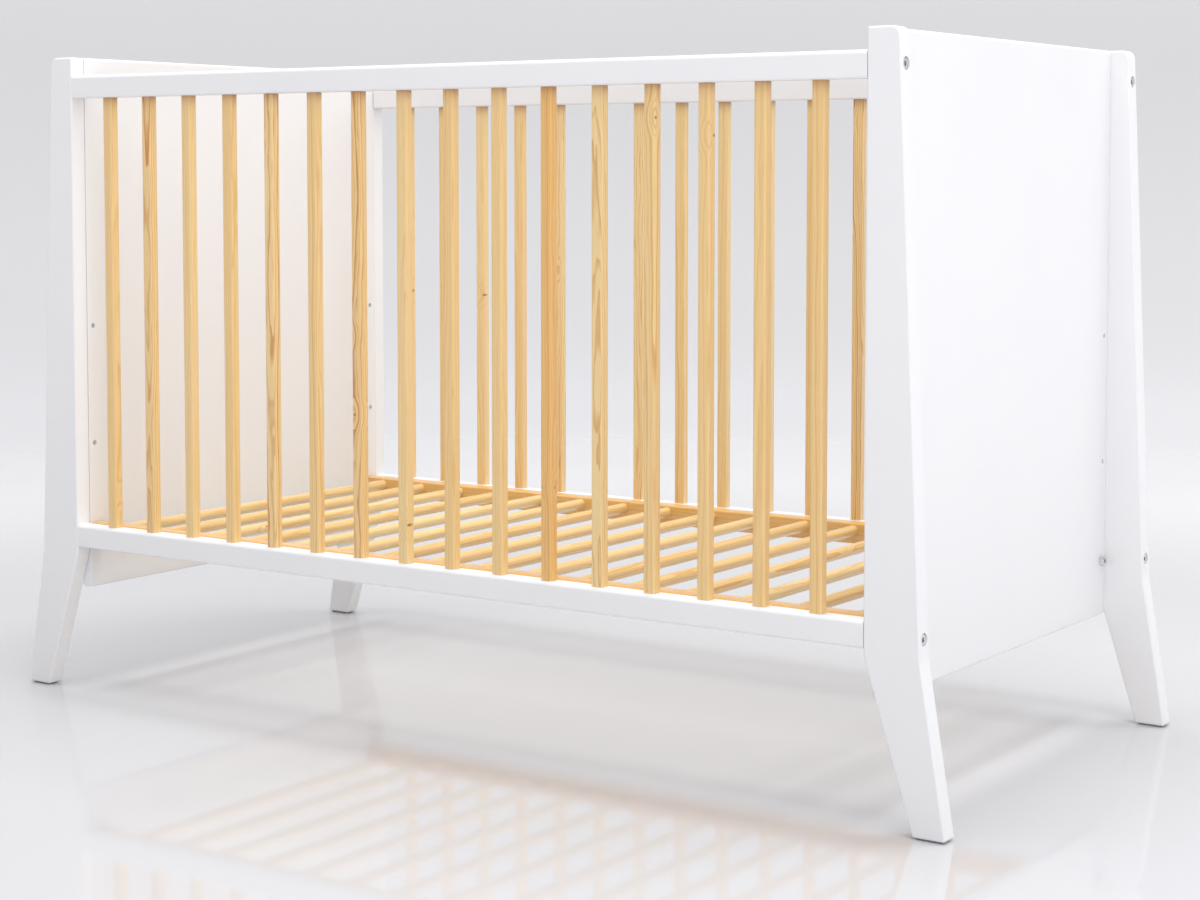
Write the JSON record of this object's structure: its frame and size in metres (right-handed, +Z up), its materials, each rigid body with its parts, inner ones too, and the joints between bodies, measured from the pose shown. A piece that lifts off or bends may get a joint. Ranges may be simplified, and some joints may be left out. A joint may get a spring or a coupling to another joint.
{
  "type": "baby crib",
  "caption": "Baby crib with solid end panels, splayed legs, slatted long sides and a height-adjustable slatted mattress base.",
  "frame": {"origin": "on the floor, under the middle of the crib", "axes": "+X along the crib's length to its right end, +Y to its rear side, +Z up"},
  "size_m": [1.4202, 0.662, 0.873],
  "materials": {
    "white_lacquer": "white satin lacquer",
    "pine": "clear satin lacquer on pine",
    "zinc_steel": "zinc plated",
    "grey_plastic": "matt"
  },
  "bodies": {
    "root": {"post_front_left": "white_lacquer", "post_front_right": "white_lacquer", "post_rear_left": "white_lacquer", "post_rear_right": "white_lacquer", "end_panel_left": "white_lacquer", "end_panel_right": "white_lacquer", "top_rail_front": "white_lacquer", "bottom_rail_front": "white_lacquer", "top_rail_rear": "white_lacquer", "bottom_rail_rear": "white_lacquer", "slat_front_01": "pine", "slat_front_02": "pine", "slat_front_03": "pine", "slat_front_04": "pine", "slat_front_05": "pine", "slat_front_06": "pine", "slat_front_07": "pine", "slat_front_08": "pine", "slat_front_09": "pine", "slat_front_10": "pine", "slat_front_11": "pine", "slat_front_12": "pine", "slat_front_13": "pine", "slat_front_14": "pine", "slat_front_15": "pine", "slat_front_16": "pine", "slat_rear_01": "pine", "slat_rear_02": "pine", "slat_rear_03": "pine", "slat_rear_04": "pine", "slat_rear_05": "pine", "slat_rear_06": "pine", "slat_rear_07": "pine", "slat_rear_08": "pine", "slat_rear_09": "pine", "slat_rear_10": "pine", "slat_rear_11": "pine", "slat_rear_12": "pine", "slat_rear_13": "pine", "slat_rear_14": "pine", "slat_rear_15": "pine", "slat_rear_16": "pine", "rail_bolt_front_left_bottom": "zinc_steel", "rail_bolt_front_left_top": "zinc_steel", "base_bolt_front_left": "zinc_steel", "foot_glide_front_left": "grey_plastic", "rail_bolt_front_right_bottom": "zinc_steel", "rail_bolt_front_right_top": "zinc_steel", "base_bolt_front_right": "zinc_steel", "foot_glide_front_right": "grey_plastic", "rail_bolt_rear_left_bottom": "zinc_steel", "rail_bolt_rear_left_top": "zinc_steel", "base_bolt_rear_left": "zinc_steel", "foot_glide_rear_left": "grey_plastic", "rail_bolt_rear_right_bottom": "zinc_steel", "rail_bolt_rear_right_top": "zinc_steel", "base_bolt_rear_right": "zinc_steel", "foot_glide_rear_right": "grey_plastic"},
    "mattress_base": {"mattress_base": "pine"}
  },
  "joints": [
    {"name": "mattress_base_height", "type": "slide", "parent": "root", "child": "mattress_base", "axis": [0, 0, 1], "range_m": [0, 0.293]}
  ]
}
